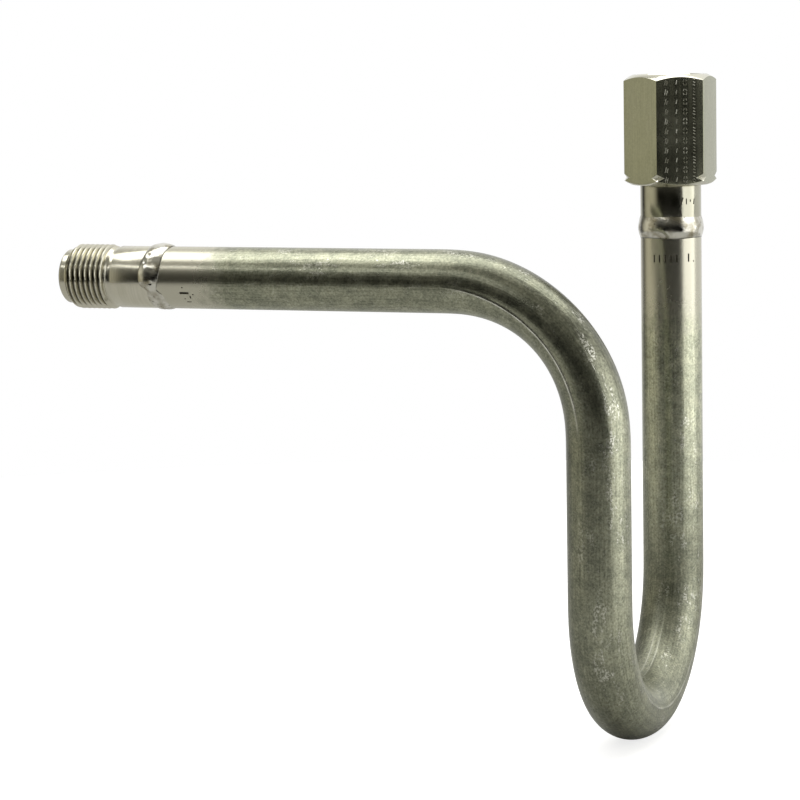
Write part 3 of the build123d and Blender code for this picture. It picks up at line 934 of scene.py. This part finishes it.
# Each part of the room: degrees to the right of the camera, how near to straight at it its light
# starts and is full, how bright it is, and its tint.
light = (0.004, 0.004, 0.003)
shares = []
for side, start, full, level, tint in ((150, 0.1, 0.8, 0.95, "ffffff"),
                                       (-92, 0.76, 1.0, 0.72, "fffae4")):
    turn = math.radians(CAMERA_SIDE + side)
    towards = node(tree, "VectorMath", {0: way, 1: (math.sin(turn), -math.cos(turn), 0.0)},
                   operation="DOT_PRODUCT").outputs["Value"]
    share = node(tree, "MapRange", {0: towards, 1: start, 2: full, 4: level},
                 interpolation_type="SMOOTHSTEP").outputs[0]
    wash = node(tree, "VectorMath", {0: linear(tint)[:3], "Scale": share},
                operation="SCALE").outputs[0]
    light = node(tree, "VectorMath", {0: light, 1: wash}, operation="ADD").outputs[0]
    shares.append(share)
rise = node(tree, "SeparateXYZ", {0: way}).outputs[2]
ceiling = node(tree, "MapRange", {0: rise, 4: 0.4}, interpolation_type="SMOOTHSTEP").outputs[0]
wash = node(tree, "VectorMath", {0: linear("fffdf2")[:3], "Scale": ceiling},
            operation="SCALE").outputs[0]
light = node(tree, "VectorMath", {0: light, 1: wash}, operation="ADD").outputs[0]
# The eye sees white behind the siphon, and its metal mirrors a fifth of that from the cove.
rays = node(tree, "LightPath", {}).outputs
seen = node(tree, "Math", {0: rays["Is Camera Ray"], 1: rays["Is Transmission Ray"]},
            operation="MAXIMUM").outputs[0]
mirrored = node(tree, "Math", {0: rays["Is Glossy Ray"], 1: shares[0]},
                operation="MULTIPLY").outputs[0]
mirrored = node(tree, "Math", {0: mirrored, 1: 0.2}, operation="MULTIPLY").outputs[0]
seen = node(tree, "Math", {0: seen, 1: mirrored}, operation="ADD", use_clamp=True).outputs[0]
light = node(tree, "Mix", {0: seen, 6: light, 7: (1, 1, 1, 1)}, data_type="RGBA").outputs[2]
sky = node(tree, "Background", {"Color": light}).outputs[0]
node(tree, "OutputWorld", {0: sky})


def softbox(name, side, rise, distance, width, height, level):
    """A panel of even light aimed at the siphon: side is degrees to the right of the camera, rise
    degrees above the table, and level is how bright its face looks, where 1 is paper white."""
    panel = bpy.data.lights.new(name, "AREA")
    panel.shape, panel.size, panel.size_y = "RECTANGLE", width, height
    panel.energy = level * math.pi * width * height
    lamp = placed(name, panel)
    turn, lift = math.radians(CAMERA_SIDE + side), math.radians(rise)
    out = Vector((math.sin(turn) * math.cos(lift), -math.cos(turn) * math.cos(lift),
                  math.sin(lift)))
    lamp.location = middle + out * distance
    lamp.rotation_euler = out.to_track_quat("Z", "Y").to_euler()
    lamp.visible_camera = False


softbox("right_softbox", 68, 8, 1.6, 1.6, 1.5, 1.9)
softbox("overhead_bank", 180, 80, 1.5, 2.6, 1.0, 2.8)
softbox("front_strip", -48, 38, 1.6, 1.5, 0.12, 3.2)

# -----------------------------------------------------------------------------------
# The camera: a long lens just under a metre away, a little above and to the right of square on.
# Its shift is how far the corner where the arm's axis meets the down leg's lies to the right of
# its line of sight and above it, in mm. Its angles are in degrees.
CAMERA_RISE = 7.05
CAMERA_ROLL = -1.06
CAMERA_AWAY = 927.95
CAMERA_SHIFT = (60.15, 35.61)
camera = bpy.data.cameras.new("camera")
camera.lens = 136.57
camera.sensor_width = 36
camera.dof.use_dof = False
holder = placed("camera", camera)
facing = (Matrix.Rotation(math.radians(CAMERA_SIDE), 3, "Z")
          @ Matrix.Rotation(math.radians(-CAMERA_RISE), 3, "X")
          @ Matrix.Rotation(math.radians(-CAMERA_ROLL), 3, "Y"))
target = Vector((CAMERA_SHIFT[0], CAMERA_AWAY, CAMERA_SHIFT[1]))
stand = Vector((LEG_X, 0, 0)) - facing @ target
holder.matrix_world = (Matrix.Translation(stand * MM)
                       @ (facing @ Matrix.Rotation(math.radians(90), 3, "X")).to_4x4())
bpy.context.scene.camera = holder
bpy.context.scene.view_settings.view_transform = "Standard"
